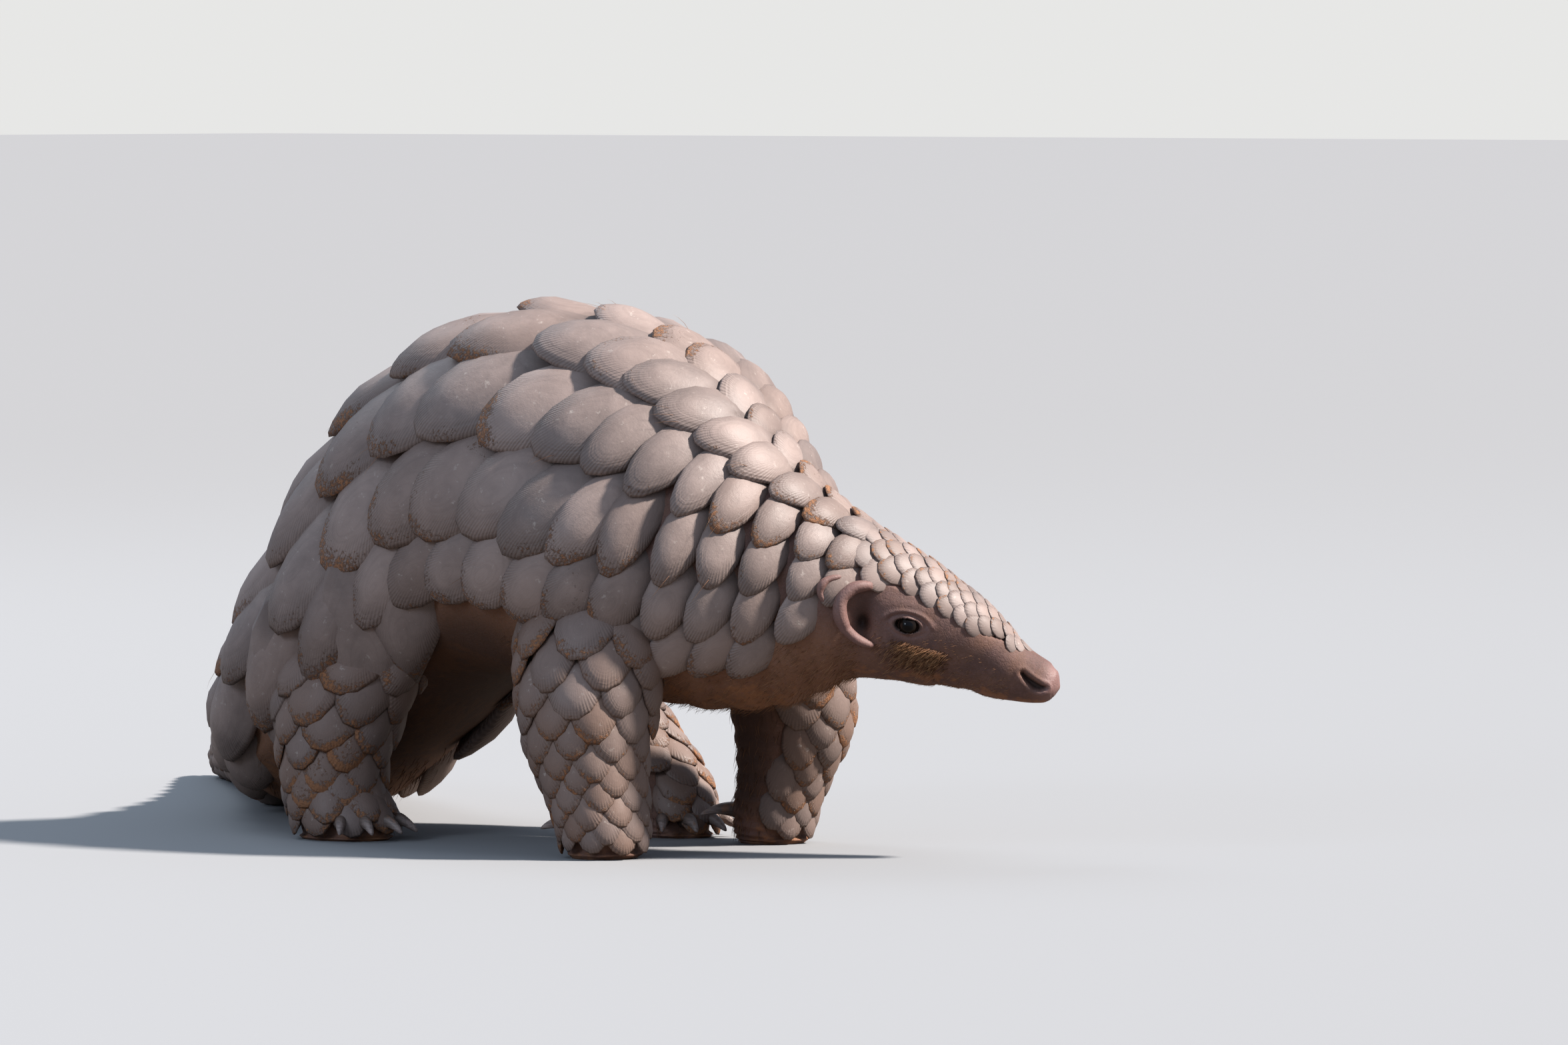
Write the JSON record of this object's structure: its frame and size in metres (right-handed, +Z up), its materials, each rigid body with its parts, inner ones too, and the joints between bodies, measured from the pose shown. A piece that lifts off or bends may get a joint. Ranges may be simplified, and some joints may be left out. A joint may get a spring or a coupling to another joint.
{
  "type": "pangolin",
  "caption": "Walking pangolin as a still life-size model: scaled back, legs and tail, bare face, head lowered and turned to its left.",
  "frame": {"origin": "on the floor, under the middle of the whole animal's box", "axes": "+X forward towards the head, +Y to the animal's left, +Z up; the floor is z = 0"},
  "size_m": [0.654, 0.2936, 0.2429],
  "materials": {
    "scales": "dusty horn with fine ridges",
    "skin": "bare wrinkled skin with sparse short hair",
    "eye": "wet and dark",
    "claw": "worn dark horn"
  },
  "bodies": {
    "root": {"claw_foreleg_right_1": "claw", "claw_foreleg_right_2": "claw", "claw_foreleg_right_3": "claw", "foreleg_right": "scales", "claw_foreleg_left_1": "claw", "claw_foreleg_left_2": "claw", "claw_foreleg_left_3": "claw", "foreleg_left": "scales", "claw_hindleg_right_1": "claw", "claw_hindleg_right_2": "claw", "claw_hindleg_right_3": "claw", "claw_hindleg_right_4": "claw", "claw_hindleg_right_5": "claw", "hindleg_right": "scales", "claw_hindleg_left_1": "claw", "claw_hindleg_left_2": "claw", "claw_hindleg_left_3": "claw", "claw_hindleg_left_4": "claw", "claw_hindleg_left_5": "claw", "hindleg_left": "scales", "head": "skin", "neck": "scales", "torso": "scales", "tail_base": "scales", "tail_middle": "scales", "tail_tip": "scales", "eye_right": "eye", "ear_right": "skin", "eye_left": "eye", "ear_left": "skin"}
  },
  "joints": []
}
